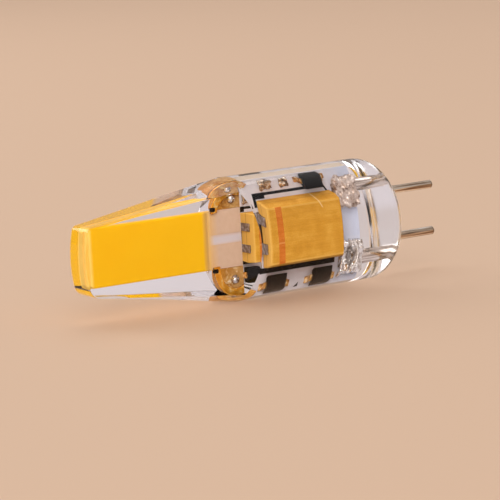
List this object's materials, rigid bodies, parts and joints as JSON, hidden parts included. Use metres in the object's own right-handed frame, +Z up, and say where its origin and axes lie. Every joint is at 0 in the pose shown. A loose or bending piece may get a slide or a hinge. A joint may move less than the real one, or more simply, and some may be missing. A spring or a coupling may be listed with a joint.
{
  "type": "bi-pin led bulb",
  "caption": "Small clear-cast LED capsule bulb: a light strip in a flattened tip, a driver board in a round barrel and straight contact pins in line at the base.",
  "frame": {"origin": "middle of the bounding box at floor level, below the axis of the lying bulb", "axes": "+X along the bulb's axis from the tip to the pins, +Z up, -Y towards the face with the large capacitor"},
  "size_m": [0.0348, 0.0102, 0.0102],
  "materials": {
    "clear_resin": "clear, smooth and glossy",
    "white_board": "white lacquer, satin",
    "strip_ceramic": "pale, slightly translucent",
    "phosphor": "matt yellow",
    "plated_pad": "plated, satin",
    "gilt_lead": "gilt, satin",
    "amber_resin": "amber, glossy",
    "solder": "bright, lumpy",
    "capacitor_case": "mustard, matt moulded",
    "tinned_terminal": "dull tin",
    "black_case": "black, matt moulded",
    "black_film": "black film on ceramic",
    "pin_metal": "bright drawn wire"
  },
  "bodies": {
    "root": {"capacitor_anode": "tinned_terminal", "capacitor_case": "capacitor_case", "capacitor_cathode": "tinned_terminal", "circuit_board": "white_board", "clear_body": "clear_resin", "contact_pin_lower": "pin_metal", "contact_pin_upper": "pin_metal", "diode_behind_case": "black_case", "diode_behind_lead_left": "gilt_lead", "diode_behind_lead_right": "gilt_lead", "diode_lower_left_case": "black_case", "diode_lower_left_lead_left": "gilt_lead", "diode_lower_left_lead_right": "gilt_lead", "diode_lower_right_case": "black_case", "diode_lower_right_lead_left": "gilt_lead", "diode_lower_right_lead_right": "gilt_lead", "diode_upper_right_case": "black_case", "diode_upper_right_lead_left": "gilt_lead", "diode_upper_right_lead_right": "gilt_lead", "fixing_resin_lower": "amber_resin", "fixing_resin_upper": "amber_resin", "phosphor_back": "phosphor", "phosphor_front": "phosphor", "pin_solder_lower": "solder", "pin_solder_upper": "solder", "regulator_case": "black_case", "regulator_leg_far": "tinned_terminal", "regulator_leg_left": "tinned_terminal", "regulator_leg_right": "tinned_terminal", "resistor_body": "black_film", "resistor_cap_left": "tinned_terminal", "resistor_cap_right": "tinned_terminal", "spare_land_left": "solder", "spare_land_right": "solder", "strip_carrier": "strip_ceramic", "strip_lead_lower": "gilt_lead", "strip_lead_upper": "gilt_lead", "strip_pad_lower": "plated_pad", "strip_pad_upper": "plated_pad", "strip_solder_lower": "solder", "strip_solder_upper": "solder"}
  },
  "joints": []
}
